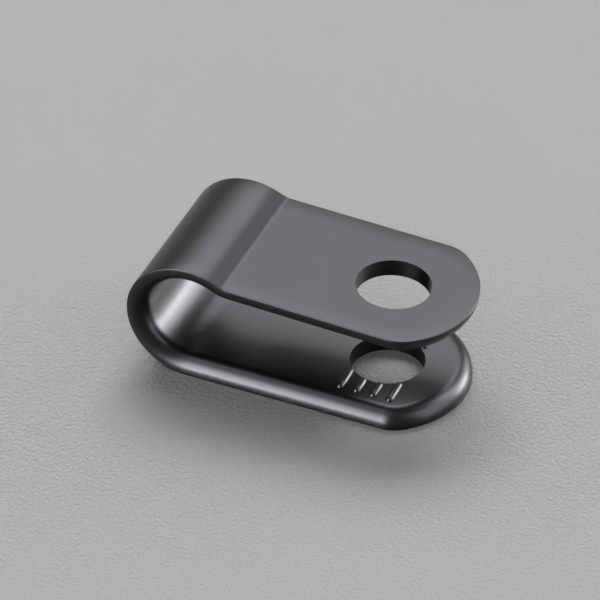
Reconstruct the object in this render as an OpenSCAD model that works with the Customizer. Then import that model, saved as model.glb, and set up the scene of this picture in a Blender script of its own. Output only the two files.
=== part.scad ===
// One-piece moulded cable clamp. A strap lies flat as the base tab, turns round the cable as an open
// loop, drops down a short neck and comes back over the base as the upper tab. Sizes in millimetres.
// The base tab's screw hole is the Z axis and its underside is z = 0. The loop lies towards -X, the
// rounded tips of the tabs towards +X, and the cable runs along Y.

/* [Strap] */
// Width of the strap, which is the length of cable that it holds
strap_w = 9.5; // [8.5:0.1:14]
// Thickness of the strap
strap_t = 1.1; // [0.9:0.02:1.5]
// Height of the square part of each edge, next to the outer face
side_flat = 0.12; // [0.1:0.02:0.4]
// Width and height of the fine bevel that breaks the edges of the outer face
edge_break = 0.05; // [0.03:0.01:0.09]

/* [Loop] */
// Inside diameter of the loop as moulded, before a screw draws the tabs together
loop_bore = 5.48; // [4.6:0.02:9]
// Distance from the base hole to the middle of the loop
loop_reach = 10.57; // [10:0.01:16]

/* [Neck and lean] */
// Slope, in degrees, of the neck between the loop and the upper tab
neck_slope = 22.8; // [14:0.1:35]
// Length of the straight part of the neck
neck_len = 0.64; // [0.4:0.01:1.6]
// How much the crease between neck and upper tab is eased beyond the tightest that the edges allow
crease_ease = 0.05; // [0.05:0.05:0.6]
// Lean, in degrees, of the upper tab down towards its tip
tab_lean = 2.35; // [1:0.05:5]

/* [Tabs] */
// Diameter of both screw holes, a clearance for an M4 or No. 8 screw
hole_d = 4.4; // [3:0.1:5]
// How far the upper hole stands ahead of the base hole while the clamp is open
hole_lead = 0.31; // [0:0.01:0.6]
// How far the middle of the end's arc lies behind the hole
end_back = 0.53; // [0:0.01:0.8]
// Radius of the corners between the sides and the end of each tab
corner_r = 2; // [1.4:0.1:3]

/* [Grip ribs] */
// Number of rows of ribs across the inner face of the base tab
rib_count = 4; // [2:1:4]
// Spacing of the rows
rib_pitch = 1.02; // [0.8:0.02:1.1]
// How far the middle of the rows lies behind the hole
rib_back = 0.05; // [0:0.01:0.1]
// Radius of a rib's round back and of its round ends
rib_r = 0.24; // [0.2:0.01:0.3]
// Height of a rib
rib_h = 0.2; // [0.1:0.01:0.2]
// Distance from a rib's end to the foot of the strap's rounded edge
rib_margin = 0.24; // [0.1:0.02:0.4]
// Distance from a rib's other end to the rim of the screw hole
rib_clear = 0.02; // [0.02:0.01:0.2]

/* [Hidden] */
$fn = 96;
nylon = [0.05, 0.05, 0.055];
// Extra length by which a cutter passes the face that it cuts
over = 0.5;
half_w = strap_w / 2;
cable_edge_r = strap_t - side_flat;
loop_r = loop_bore / 2 + strap_t;
// Each corner's middle lies on a line of 3 in 4 from the middle of the end's arc, where the two arcs meet
corner_dir = [0.6, 0.8];
corner_y = half_w - corner_r;
corner_x = corner_y * corner_dir[0] / corner_dir[1];
end_r = corner_r + corner_y / corner_dir[1];
// Circle round the hole on which the middles of the ribs' inner ends lie
rib_ring = hole_d / 2 + rib_clear + rib_r;
// Distance from the middle of the tab to the middles of the ribs' outer ends
rib_far = half_w - cable_edge_r - rib_margin - rib_r;
// Radius of the crease on the outer face, which leaves the rounded edge a radius of turn of its own
crease_r = cable_edge_r - side_flat + crease_ease;
crease_turn = neck_slope - tab_lean;
// Angle by which two pieces of one bend overlap
bend_lap = 4;
// Where the upper tab starts on the outer face, seen along X from the base hole
tab_x = loop_r * sin(neck_slope) - loop_reach + neck_len * cos(neck_slope)
    + crease_r * (sin(neck_slope) - sin(tab_lean));
// Length of the upper tab up to its hole, to the nearest thousandth
tab_len = round(1000 * (hole_lead - tab_x) / cos(tab_lean)) / 1000;

// One edge of the strap in section: outer face along the first axis, inner face at the full thickness
module half_section(reach) {
    difference() {
        square([reach, strap_t]);
        translate([reach - cable_edge_r, side_flat])
            difference() {
                square(cable_edge_r + over);
                circle(r = cable_edge_r);
            }
        polygon([[reach - edge_break, 0], [reach, edge_break], [reach + over, -over]]);
    }
}

// The strap's whole section
module strap_section() {
    half_section(half_w);
    mirror([1, 0])
        half_section(half_w);
}

// A straight run of strap along +X with its outer face on z = 0
module straight_run(length) {
    rotate([90, 0, 90])
        linear_extrude(length)
            strap_section();
}

// A slice of a rounded disc, its outer face on z = 0, between two directions from its middle
module disc_slice(radius, first, second) {
    intersection() {
        rotate_extrude()
            half_section(radius);
        translate([0, 0, -over])
            linear_extrude(strap_t + 2 * over)
                polygon([[0, 0], 2 * radius * first, 2 * radius * second]);
    }
}

// A tab along +X from x = 0, with its hole's middle at x = length and its outer face on z = 0
module tab(length) {
    straight_run(length - end_back + corner_x);
    translate([length - end_back, 0, 0]) {
        disc_slice(end_r, [corner_dir[0], -corner_dir[1]], corner_dir);
        for (side = [0, 1])
            mirror([0, side, 0])
                translate([corner_x, corner_y, 0])
                    disc_slice(corner_r, corner_dir, [0, 1]);
    }
}

// A bend of the strap about the Y axis, from one angle in the XZ plane to the next, with its outer face at
// the given radius; the inner face lies nearer the axis, or farther off where the bend is turned outwards
module bend(outer_r, from, turn, outwards = false) {
    rotate([90, 0, 0])
        rotate_extrude(angle = turn, start = from)
            translate([outer_r, 0])
                rotate(outwards ? -90 : 90)
                    strap_section();
}

// The half of the loop that rises from the base
module loop_rise() {
    translate([-loop_reach, 0, loop_r])
        bend(loop_r, 180 - bend_lap, 90 + bend_lap);
}

// The half of the loop over the crown, then the neck, the crease and the upper tab, each on from the last
module crown_to_tip() {
    translate([-loop_reach, 0, loop_r])
        rotate([0, neck_slope, 0]) {
            bend(loop_r, 90, 90 + neck_slope);
            translate([0, 0, loop_r])
                mirror([0, 0, 1])
                    straight_run(neck_len);
            translate([neck_len, 0, loop_r + crease_r]) {
                bend(crease_r, 270, crease_turn / 2 + bend_lap, outwards = true);
                rotate([0, -neck_slope, 0])
                    rotate([0, tab_lean, 0]) {
                        bend(crease_r, 270 - crease_turn / 2, crease_turn / 2, outwards = true);
                        translate([0, 0, -crease_r])
                            upper_tab();
                    }
            }
        }
}

// One rib along +Y between the middles of its ends: a bar with ball ends, sunk in the inner face past its middle
module rib(from, to) {
    length = to - from;
    translate([0, from, strap_t + rib_h - rib_r])
        rotate([-90, 0, 0])
            rotate_extrude()
                intersection() {
                    union() {
                        circle(r = rib_r);
                        square([rib_r, length]);
                        translate([0, length])
                            circle(r = rib_r);
                    }
                    translate([0, -rib_r])
                        square([rib_r, length + 2 * rib_r]);
                }
}

// Rows of ribs that keep the closed tabs from sliding on each other, each left open round the screw hole
module grip_ribs() {
    for (i = [0 : rib_count - 1]) {
        x = (i - (rib_count - 1) / 2) * rib_pitch - rib_back;
        near = sqrt(max(0, rib_ring * rib_ring - x * x));
        if (near < rib_far)
            for (side = [0, 1])
                translate([x, 0, 0])
                    mirror([0, side, 0])
                        rib(near, rib_far);
    }
}

// A tab with its screw hole
module drilled_tab(length) {
    difference() {
        tab(length);
        translate([length, 0, -over])
            cylinder(d = hole_d, h = strap_t + 2 * over);
    }
}

// The base tab with its ribs, its hole on the Z axis
module base_tab() {
    translate([-loop_reach, 0, 0])
        drilled_tab(loop_reach);
    grip_ribs();
}

// The upper tab along +X, its outer face on z = 0 and turned up
module upper_tab() {
    mirror([0, 0, 1])
        drilled_tab(tab_len);
}

module clamp() {
    color(nylon) {
        base_tab();
        loop_rise();
        crown_to_tip();
    }
}

clamp();
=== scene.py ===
import math

import bpy
from mathutils import Matrix, Vector


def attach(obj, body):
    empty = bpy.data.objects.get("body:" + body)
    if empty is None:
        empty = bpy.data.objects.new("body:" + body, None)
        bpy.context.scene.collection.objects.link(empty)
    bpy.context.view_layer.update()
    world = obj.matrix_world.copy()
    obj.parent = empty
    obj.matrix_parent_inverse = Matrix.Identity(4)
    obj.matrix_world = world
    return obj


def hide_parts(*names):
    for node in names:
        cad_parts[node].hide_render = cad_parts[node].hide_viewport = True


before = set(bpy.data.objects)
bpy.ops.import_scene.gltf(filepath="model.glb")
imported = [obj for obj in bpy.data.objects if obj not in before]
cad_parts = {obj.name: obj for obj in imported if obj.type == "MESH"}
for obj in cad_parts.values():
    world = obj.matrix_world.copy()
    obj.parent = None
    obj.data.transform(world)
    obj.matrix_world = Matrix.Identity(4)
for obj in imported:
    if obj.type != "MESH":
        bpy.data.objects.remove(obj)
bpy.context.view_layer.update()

# The clamp: one strap of black nylon, injection-moulded in a polished steel tool and used as it falls out.
# It lies flat as the base tab, turns round the cable, drops down a short neck and returns as the upper tab.
# Its outer face has square edges, its cable side large round ones, and ribs keep the tabs from sliding.
clamp_sizes = {  # millimetres; angles in degrees
    "Strap width": 9.5,
    "Strap thickness": 1.1,
    "Outer edge radius": 0.05,
    "Cable edge radius": 0.98,
    "Loop outer radius": 3.84,
    "Loop reach": 10.57,
    "Neck slope": 22.8,
    "Neck length": 0.64,
    "Crease radius": 0.91,
    "Tab lean": 2.35,
    "Upper tab length": 8.494,
    "Hole diameter": 4.4,
    "End arc set-back": 0.53,
    "End arc radius": 5.4375,
    "Corner radius": 2.0,
    "Corner turn": 36.87,
    "Rib rows": 4,
    "Rib pitch": 1.02,
    "Rib set-back": 0.05,
    "Rib radius": 0.24,
    "Rib height": 0.2,
    "Rib ring radius": 2.46,
    "Rib end middle": 3.29,
}
clamp_tree = bpy.data.node_groups.new("Cable clamp", "GeometryNodeTree")
clamp_inputs = clamp_tree.interface
clamp_inputs.new_socket("Geometry", in_out="INPUT", socket_type="NodeSocketGeometry")
size_ids = {}
for size_name, size in clamp_sizes.items():
    size_kind = "NodeSocketInt" if isinstance(size, int) else "NodeSocketFloat"
    size_input = clamp_inputs.new_socket(size_name, in_out="INPUT", socket_type=size_kind)
    size_ids[size_name] = size_input.identifier
nylon_input = clamp_inputs.new_socket("Nylon", in_out="INPUT", socket_type="NodeSocketMaterial")
clamp_inputs.new_socket("Geometry", in_out="OUTPUT", socket_type="NodeSocketGeometry")
given = clamp_tree.nodes.new("NodeGroupInput").outputs

quarter = math.radians(90)
weld_gap = 0.002  # millimetres; points that lie closer become one


def node(kind, *values, out=0, **options):
    """Adds a node to the clamp's tree, fills its inputs in order (None leaves one) and returns an output."""
    made = clamp_tree.nodes.new(kind)
    for name, option in options.items():
        setattr(made, name, option)
    for socket, value in zip([s for s in made.inputs if s.enabled], values):
        for each in value if isinstance(value, list) else [value]:
            if isinstance(each, bpy.types.NodeSocket):
                clamp_tree.links.new(each, socket)
            elif each is not None:
                socket.default_value = each
    return made.outputs[out]


def math_of(operation, *values):
    return node("ShaderNodeMath", *values, operation=operation)


def minus(value):
    return math_of("MULTIPLY", value, -1.0)


def half(value):
    return math_of("MULTIPLY", value, 0.5)


def point(x=0.0, y=0.0, z=0.0):
    return node("ShaderNodeCombineXYZ", x, y, z)


def moved(shape, to=None, turn=None, scale=None):
    return node("GeometryNodeTransform", shape, to, turn, scale)


def line(start, end):
    return node("GeometryNodeCurvePrimitiveLine", start, end)


def arc(steps, radius, start, sweep):
    return node("GeometryNodeCurveArc", steps + 1, radius, start, sweep, mode="RADIUS")


def joined(*shapes):
    return node("GeometryNodeJoinGeometry", list(reversed(shapes)))


def welded(shape):
    return node("GeometryNodeMergeByDistance", shape, None, weld_gap)


def one_line(*curves):
    """Curves that meet end to end, as one curve that starts where the first does."""
    return node("GeometryNodeMeshToCurve", welded(node("GeometryNodeCurveToMesh", joined(*curves))))


# Half of the strap's section: its outer face on the first axis and its thickness below, as a sweep turns it.
# A narrow strip beside each round edge keeps the wide faces' shading flat.
flat_strip = 0.1
outer_edge_steps = 6
cable_edge_steps = 16
thick = given["Strap thickness"]
outer_r = given["Outer edge radius"]
cable_r = given["Cable edge radius"]
half_w = half(given["Strap width"])
inset_mid = minus(half_w)
inset_strip = math_of("SUBTRACT", -flat_strip, cable_r)
inset_outer = minus(outer_r)
inset_cable = minus(cable_r)
cable_start = math_of("SUBTRACT", thick, cable_r)
half_section = one_line(
    line(point(inset_mid), point(inset_strip)),
    line(point(inset_strip), point(inset_outer)),
    moved(arc(outer_edge_steps, outer_r, -quarter, quarter), point(inset_outer, outer_r)),
    line(point(0.0, outer_r), point(0.0, cable_start)),
    moved(arc(cable_edge_steps, cable_r, 0.0, quarter), point(inset_cable, cable_start)),
    line(point(inset_cable, thick), point(inset_strip, thick)),
    line(point(inset_strip, thick), point(inset_mid, thick)),
)
at_middle = node("GeometryNodeCurveEndpointSelection", 1, 1)
half_section = node("GeometryNodeStoreNamedAttribute", half_section, None, "at_middle", at_middle,
                    data_type="BOOLEAN", domain="POINT")
half_section = moved(half_section, None, None, (1.0, -1.0, 1.0))

# The line of the outer face, from the start of the base tab's round end to that of the upper tab's
loop_steps = 100
crease_steps = 12
slope = math_of("RADIANS", given["Neck slope"])
lean = math_of("RADIANS", given["Tab lean"])
loop_r = given["Loop outer radius"]
crease_r = given["Crease radius"]
neck_len = given["Neck length"]
corner_turn = math_of("RADIANS", given["Corner turn"])
corner_y = math_of("SUBTRACT", half_w, given["Corner radius"])
corner_x = math_of("MULTIPLY", corner_y, math_of("TANGENT", corner_turn))
hole_to_end = math_of("SUBTRACT", corner_x, given["End arc set-back"])
crease_turn = math_of("SUBTRACT", slope, lean)
loop_turn = math_of("ADD", slope, math.radians(180))
tab_start = point(0.0, minus(crease_r))
tab_stop = point(math_of("ADD", given["Upper tab length"], hole_to_end), minus(crease_r))
tab_line = moved(line(tab_start, tab_stop), None, point(0.0, 0.0, crease_turn))
crease = arc(crease_steps, crease_r, -quarter, crease_turn)
neck_end = point(neck_len, math_of("ADD", loop_r, crease_r))
neck = line(point(0.0, loop_r), point(neck_len, loop_r))
past_crown = joined(neck, moved(joined(crease, tab_line), neck_end))
past_crown = moved(past_crown, None, point(0.0, 0.0, minus(slope)))
loop = arc(loop_steps, loop_r, -quarter, minus(loop_turn))
loop_x = minus(given["Loop reach"])
base_line = line(point(hole_to_end), point(loop_x))
strap_line = one_line(base_line, moved(joined(loop, past_crown), point(loop_x, loop_r)))
strap_line = moved(strap_line, None, (quarter, 0.0, 0.0))

# Both halves of the section drawn along that line
right_half = node("GeometryNodeCurveToMesh", strap_line, moved(half_section, point(half_w)))
right_half = node("GeometryNodeFlipFaces", right_half)
left_section = moved(half_section, point(inset_mid), None, (-1.0, 1.0, 1.0))
left_half = node("GeometryNodeCurveToMesh", strap_line, left_section)

# A round tab end: the same edge drawn round the end's three arcs, its flats closed to one point in the hole
corner_steps = 12
end_steps = 48
corner_r = given["Corner radius"]
corner_start = math_of("SUBTRACT", quarter, corner_turn)
end_turn = math_of("MULTIPLY", corner_start, 2.0)
here = node("GeometryNodeInputPosition")


def end_arc(steps, radius, start, sweep, middle):
    bow = arc(steps, radius, start, sweep)
    return moved(node("GeometryNodeSetCurveNormal", bow, None, here, mode="FREE"), middle)


end_line = joined(
    end_arc(corner_steps, corner_r, -quarter, corner_turn, point(0.0, minus(corner_y))),
    end_arc(end_steps, given["End arc radius"], minus(corner_start), end_turn, point(minus(corner_x))),
    end_arc(corner_steps, corner_r, corner_start, corner_turn, point(0.0, corner_y)),
)
tab_end = node("GeometryNodeCurveToMesh", end_line, half_section)
height = node("ShaderNodeSeparateXYZ", here, out=2)
on_middle = node("GeometryNodeInputNamedAttribute", "at_middle", data_type="BOOLEAN")
tab_end = node("GeometryNodeSetPosition", tab_end, on_middle, point(0.0, 0.0, height))
tab_end = node("GeometryNodeFlipFaces", tab_end)

# One such end on each end of the strap's line, turned to run on from it
along = node("GeometryNodeInputTangent")
end_sign = node("ShaderNodeMath", node("GeometryNodeSplineParameter"), 2.0, -1.0, operation="MULTIPLY_ADD")
run_on = node("ShaderNodeVectorMath", along, end_sign, operation="SCALE")
inwards = node("ShaderNodeVectorMath", (0.0, 1.0, 0.0), along, operation="CROSS_PRODUCT")
facing = node("FunctionNodeAxesToRotation", run_on, inwards, primary_axis="X", secondary_axis="Z")
line_ends = node("GeometryNodeCurveEndpointSelection", 1, 1)


def on_both_ends(shape):
    put = node("GeometryNodeInstanceOnPoints", strap_line, line_ends, shape, None, None, facing)
    return node("GeometryNodeRealizeInstances", put)


strap = welded(joined(right_half, left_half, on_both_ends(tab_end)))

# The ribs: a ball sunk in the face by its foot, repeated in rows and drawn out in each row, from a ring that
# leaves the screw hole's rim clear to the middle of the rib's outer end, then the same rows on the other side
rib_sides = 32
rib_rings = 15
rib_pitch = given["Rib pitch"]
rib_r = given["Rib radius"]
rib_ring = given["Rib ring radius"]
rib_ball = node("GeometryNodeMeshUVSphere", rib_sides, rib_rings, rib_r)
rib_ball = moved(rib_ball, None, (quarter, 0.0, 0.0))
row_gaps = math_of("SUBTRACT", given["Rib rows"], 1.0)
half_rows = math_of("MULTIPLY", half(row_gaps), rib_pitch)
first_row = math_of("SUBTRACT", minus(half_rows), given["Rib set-back"])
rib_z = math_of("SUBTRACT", math_of("ADD", thick, given["Rib height"]), rib_r)
row_places = node("GeometryNodeMeshLine", given["Rib rows"], point(first_row, 0.0, rib_z), point(rib_pitch))
ribs = node("GeometryNodeRealizeInstances", node("GeometryNodeInstanceOnPoints", row_places, None, rib_ball))
across = node("ShaderNodeSeparateXYZ", here, out=0)
sideways = node("ShaderNodeSeparateXYZ", here, out=1)
past_row = math_of("ADD", math_of("SUBTRACT", across, first_row), half(rib_pitch))
row_x = math_of("ADD", math_of("SNAP", past_row, rib_pitch), first_row)
row_start = math_of("SUBTRACT", math_of("MULTIPLY", rib_ring, rib_ring), math_of("MULTIPLY", row_x, row_x))
outer_half = node("FunctionNodeCompare", sideways, 0.0, operation="GREATER_THAN")
drawn_to = node("GeometryNodeSwitch", outer_half, math_of("SQRT", row_start), given["Rib end middle"],
                input_type="FLOAT")
ribs = node("GeometryNodeSetPosition", ribs, None, None, point(0.0, drawn_to))
ribs = joined(ribs, node("GeometryNodeFlipFaces", moved(ribs, None, None, (1.0, -1.0, 1.0))))

# The screw holes, cut through each tab
hole_sides = 128
pin_length = 3.0
hole_pin = node("GeometryNodeMeshCylinder", hole_sides, 1, 1, half(given["Hole diameter"]), pin_length)
hole_pin = moved(hole_pin, point(minus(hole_to_end), 0.0, half(thick)))
ribbed = node("GeometryNodeMeshBoolean", [strap, ribs], operation="UNION", solver="EXACT")
drilled = node("GeometryNodeMeshBoolean", ribbed, on_both_ends(hole_pin),
               operation="DIFFERENCE", solver="EXACT")

# Millimetres to metres, smooth faces that break at the sharp edges, a mark on the outer edges, which carry
# wear and a painted highlight, and the nylon
metres = (0.001, 0.001, 0.001)
sharp_angle = math.radians(20)
outer_edge_angle = math.radians(14)
angle_slack = math.radians(2)
shape = moved(node("GeometryNodeRealizeInstances", welded(drilled)), None, None, metres)
edge_angle = node("GeometryNodeInputMeshEdgeAngle")
sharp = node("FunctionNodeCompare", edge_angle, sharp_angle, operation="GREATER_THAN")
shape = node("GeometryNodeSetShadeSmooth", shape, None, True, domain="FACE")
shape = node("GeometryNodeSetShadeSmooth", shape, sharp, False, domain="EDGE")
# The rounded outer edges, marked to be painted paler: partly wear, partly a painted highlight
on_outer_edge = node("FunctionNodeCompare", edge_angle, outer_edge_angle, angle_slack, operation="EQUAL")
shape = node("GeometryNodeStoreNamedAttribute", shape, None, "edge_wear", on_outer_edge,
             data_type="FLOAT", domain="POINT")
shape = node("GeometryNodeSetMaterial", shape, None, given["Nylon"])
clamp_tree.links.new(shape, clamp_tree.nodes.new("NodeGroupOutput").inputs[0])

# The nylon: black through and through, satin from the tool, a little uneven where it shrank as it cooled.
# The tool leaves a fine grain and drawn streaks, the outer edges are paler, partly from wear and partly as a
# painted highlight along the rim, and some dust lies on it.
black_low, black_high = 0.0022, 0.0030
worn_and_highlight_paler = 0.012
dust_paler = 0.008
blue_share = 1.12
rough_low, rough_high = 0.277, 0.297
streak_rougher = 0.03
dust_rougher = 0.15
sink_depth = 0.00002
grain_depth = 0.000002
nylon = bpy.data.materials.new("black_nylon")
nylon.use_nodes = True


def shading(material, kind, inputs, out=0, **options):
    """Adds a node to a material, sets its options, sets or links its named inputs and returns an output."""
    made = material.node_tree.nodes.new(kind)
    for name, option in options.items():
        setattr(made, name, option)
    for name, value in inputs.items():
        if isinstance(value, bpy.types.NodeSocket):
            material.node_tree.links.new(value, made.inputs[name])
        else:
            made.inputs[name].default_value = value
    return made.outputs[out]


def spread(material, value, low, high, start=0.3, end=0.7):
    """A texture's value drawn from one range to another."""
    ends = {"Value": value, "From Min": start, "From Max": end, "To Min": low, "To Max": high}
    return shading(material, "ShaderNodeMapRange", ends)


def added(material, value, share, base):
    """A base value with a share of another one added."""
    return shading(material, "ShaderNodeMath", {0: value, 1: share, 2: base}, operation="MULTIPLY_ADD")


def times(material, value, factor):
    return shading(material, "ShaderNodeMath", {0: value, 1: factor}, operation="MULTIPLY")


place = shading(nylon, "ShaderNodeTexCoord", {}, out="Object")
drawn = shading(nylon, "ShaderNodeMapping", {"Vector": place, "Scale": (1.0, 1.0, 0.06)})
shrink = shading(nylon, "ShaderNodeTexNoise", {"Vector": place, "Scale": 330.0, "Detail": 1.0})
grain = shading(nylon, "ShaderNodeTexNoise", {"Vector": place, "Scale": 4000.0, "Detail": 1.0})
streaks = shading(nylon, "ShaderNodeTexNoise", {"Vector": drawn, "Scale": 2500.0, "Detail": 1.0})
dust = shading(nylon, "ShaderNodeTexVoronoi", {"Vector": place, "Scale": 1100.0})
speck = spread(nylon, dust, 1.0, 0.0, start=0.03, end=0.06)
wear_and_highlight = shading(nylon, "ShaderNodeAttribute", {}, out="Fac", attribute_name="edge_wear")

black = spread(nylon, shrink, black_low, black_high)
# Outer edges paler in colour: partly wear, partly a painted highlight along the rim
black = added(nylon, wear_and_highlight, worn_and_highlight_paler, black)
black = added(nylon, speck, dust_paler, black)
bluer = times(nylon, black, blue_share)
colour = shading(nylon, "ShaderNodeCombineColor", {"Red": black, "Green": black, "Blue": bluer})
rough = spread(nylon, shrink, rough_low, rough_high)
rough = added(nylon, streaks, streak_rougher, rough)
rough = added(nylon, speck, dust_rougher, rough)
sunk = shading(nylon, "ShaderNodeBump", {"Distance": sink_depth, "Height": shrink})
grained = shading(nylon, "ShaderNodeBump", {"Distance": grain_depth, "Height": grain, "Normal": sunk})

gloss = nylon.node_tree.nodes["Principled BSDF"]
gloss.inputs["IOR"].default_value = 1.53
gloss.inputs["Specular IOR Level"].default_value = 0.32
gloss.inputs["Specular Tint"].default_value = (0.9, 0.925, 1.0, 1.0)
for name, value in {"Base Color": colour, "Roughness": rough, "Normal": grained}.items():
    nylon.node_tree.links.new(value, gloss.inputs[name])

# The strap as it leaves the tool: the tree run once with its sizes and kept as a plain mesh
clamp = bpy.data.objects.new("clamp_strap", bpy.data.meshes.new("clamp_strap"))
bpy.context.scene.collection.objects.link(clamp)
moulding = clamp.modifiers.new("Cable clamp", "NODES")
moulding.node_group = clamp_tree
for size_name, size in clamp_sizes.items():
    moulding[size_ids[size_name]] = size
moulding[nylon_input.identifier] = nylon
graph = bpy.context.evaluated_depsgraph_get()
mesh = bpy.data.meshes.new_from_object(clamp.evaluated_get(graph))
clamp.modifiers.remove(moulding)
clamp.data = mesh
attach(clamp, "root")
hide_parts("clamp")

# The table: a plain sheet of pale grey plastic with a fine leather grain, far larger than the picture.
# The clamp only lies on it. It looks matt itself, and its satin shows where the clamp's gloss mirrors it.
# The grain is sharp in a band across the view, where the photograph is sharp, and fades in front and behind.
table_half = 3.0
table_low, table_high = 0.456, 0.464
green_share = 1.012
matt, satin = 0.8, 0.28
pebble_depth = 0.00009
sharp_relief, faded_relief = 1.2, 0.15
band_middle = 0.004
band_half, fade_end = 0.004, 0.024
into_view = (-0.396, 0.918, 0.0)
table_corners = [(-table_half, -table_half, 0), (table_half, -table_half, 0),
                 (table_half, table_half, 0), (-table_half, table_half, 0)]
table_mesh = bpy.data.meshes.new("table")
table_mesh.from_pydata(table_corners, [], [(0, 1, 2, 3)])
table = bpy.data.objects.new("table", table_mesh)
bpy.context.scene.collection.objects.link(table)
table_grey = bpy.data.materials.new("table_grey")
table_grey.use_nodes = True
spot = shading(table_grey, "ShaderNodeTexCoord", {}, out="Object")
pebble = {"Vector": spot, "Scale": 4800.0, "Detail": 0.0, "Distortion": 0.5}
pebbles = shading(table_grey, "ShaderNodeTexNoise", pebble)
tone = shading(table_grey, "ShaderNodeTexNoise", {"Vector": spot, "Scale": 60.0})
ahead = shading(table_grey, "ShaderNodeVectorMath", {0: spot, 1: into_view}, out="Value",
                operation="DOT_PRODUCT")
past = shading(table_grey, "ShaderNodeMath", {0: ahead, 1: band_middle}, operation="ADD")
away = shading(table_grey, "ShaderNodeMath", {0: past}, operation="ABSOLUTE")
relief = spread(table_grey, away, sharp_relief, faded_relief, start=band_half, end=fade_end)
pebbled = shading(table_grey, "ShaderNodeBump",
                  {"Strength": relief, "Distance": pebble_depth, "Height": pebbles})
grey = spread(table_grey, tone, table_low, table_high)
greener = times(table_grey, grey, green_share)
grey = shading(table_grey, "ShaderNodeCombineColor", {"Red": grey, "Green": greener, "Blue": grey})
mirrored = shading(table_grey, "ShaderNodeLightPath", {}, out="Is Glossy Ray")
table_rough = spread(table_grey, mirrored, matt, satin, start=0.0, end=1.0)
table_gloss = table_grey.node_tree.nodes["Principled BSDF"]
table_gloss.inputs["Specular IOR Level"].default_value = 0.15
for name, value in {"Base Color": grey, "Roughness": table_rough, "Normal": pebbled}.items():
    table_grey.node_tree.links.new(value, table_gloss.inputs[name])
table_mesh.materials.append(table_grey)

# The camera: a long lens at the photograph's viewing angle, a quarter of a metre away, all of it in focus.
# It looks at the base hole and is then slid sideways and up, which frames the clamp as the photograph does.
azimuth = math.radians(23.317)
elevation = math.radians(38.421)
distance = 0.238
slide_right, slide_up = -0.005079, 0.004267
lift = 0.00004
pixels_per_mm, picture_pixels = 17.204, 600
film_width = 36.0
back = Vector((math.sin(azimuth) * math.cos(elevation),
               -math.cos(azimuth) * math.cos(elevation),
               math.sin(elevation)))
right = Vector((math.cos(azimuth), math.sin(azimuth), 0.0))
up = back.cross(right)
camera_data = bpy.data.cameras.new("camera")
camera_data.sensor_width = film_width
camera_data.lens = pixels_per_mm * distance * 1000 / picture_pixels * film_width
camera_data.clip_start = 0.01
camera_data.clip_end = 20.0
camera = bpy.data.objects.new("camera", camera_data)
camera.matrix_world = Matrix((right, up, back)).transposed().to_4x4()
camera.location = back * distance + right * slide_right + up * slide_up + Vector((0.0, 0.0, lift))
bpy.context.scene.collection.objects.link(camera)
bpy.context.scene.camera = camera

# The light: one large soft box behind the clamp, in three fields, lights the table and the clamp's top.
# White cards all round are seen only in the gloss, where they draw the highlights on its edges and loop.
light_distance = 2.5


def soft_box(name, bearings, heights, radiance, card=True):
    """A flat light between two bearings, from +Y towards +X, and two heights over the table, in degrees."""
    bearing = math.radians(sum(bearings) / 2)
    height = math.radians(sum(heights) / 2)
    half_wide = math.radians((bearings[1] - bearings[0]) / 2) * math.cos(height)
    half_high = math.radians((heights[1] - heights[0]) / 2)
    lamp = bpy.data.lights.new(name, "AREA")
    lamp.shape = "RECTANGLE"
    lamp.size = 2 * light_distance * math.tan(half_wide)
    lamp.size_y = 2 * light_distance * math.tan(half_high)
    lamp.energy = radiance * math.pi * lamp.size * lamp.size_y
    towards = Vector((math.sin(bearing) * math.cos(height),
                      math.cos(bearing) * math.cos(height),
                      math.sin(height)))
    holder = bpy.data.objects.new(name, lamp)
    holder.location = towards * light_distance
    holder.rotation_euler = towards.to_track_quat("Z", "Y").to_euler()
    holder.visible_diffuse = not card
    bpy.context.scene.collection.objects.link(holder)


soft_box("back_box", (-62, 14), (39, 62), 6.1, card=False)
soft_box("back_box_foot", (-62, 14), (30, 39), 1.6, card=False)
soft_box("back_box_top", (-37, 14), (62, 80), 1.1, card=False)
soft_box("gap_card", (14, 30), (2, 26), 4.2)
soft_box("gap_high_card", (14, 34), (26, 56), 1.3)
soft_box("right_low_card", (30, 54), (0, 12), 26.0)
soft_box("right_card", (30, 54), (12, 26), 15.0)
soft_box("right_high_card", (34, 60), (26, 56), 7.5)
soft_box("side_card", (54, 80), (0, 50), 3.5)
soft_box("end_card", (80, 110), (0, 50), 4.3)
soft_box("front_low_card", (-172, -132), (0, 8), 33.3)
soft_box("front_card", (-172, -132), (8, 34), 16.5)
soft_box("front_high_card", (-172, -132), (34, 50), 7.3)
soft_box("left_high_card", (-116, -80), (40, 64), 12.0)
soft_box("overhead_card", (-180, -110), (52, 78), 1.55)
world = bpy.data.worlds.new("studio")
world.use_nodes = True
world.node_tree.nodes["Background"].inputs["Color"].default_value = (0.37, 0.37, 0.37, 1.0)
bpy.context.scene.world = world
bpy.context.scene.view_settings.view_transform = "Standard"
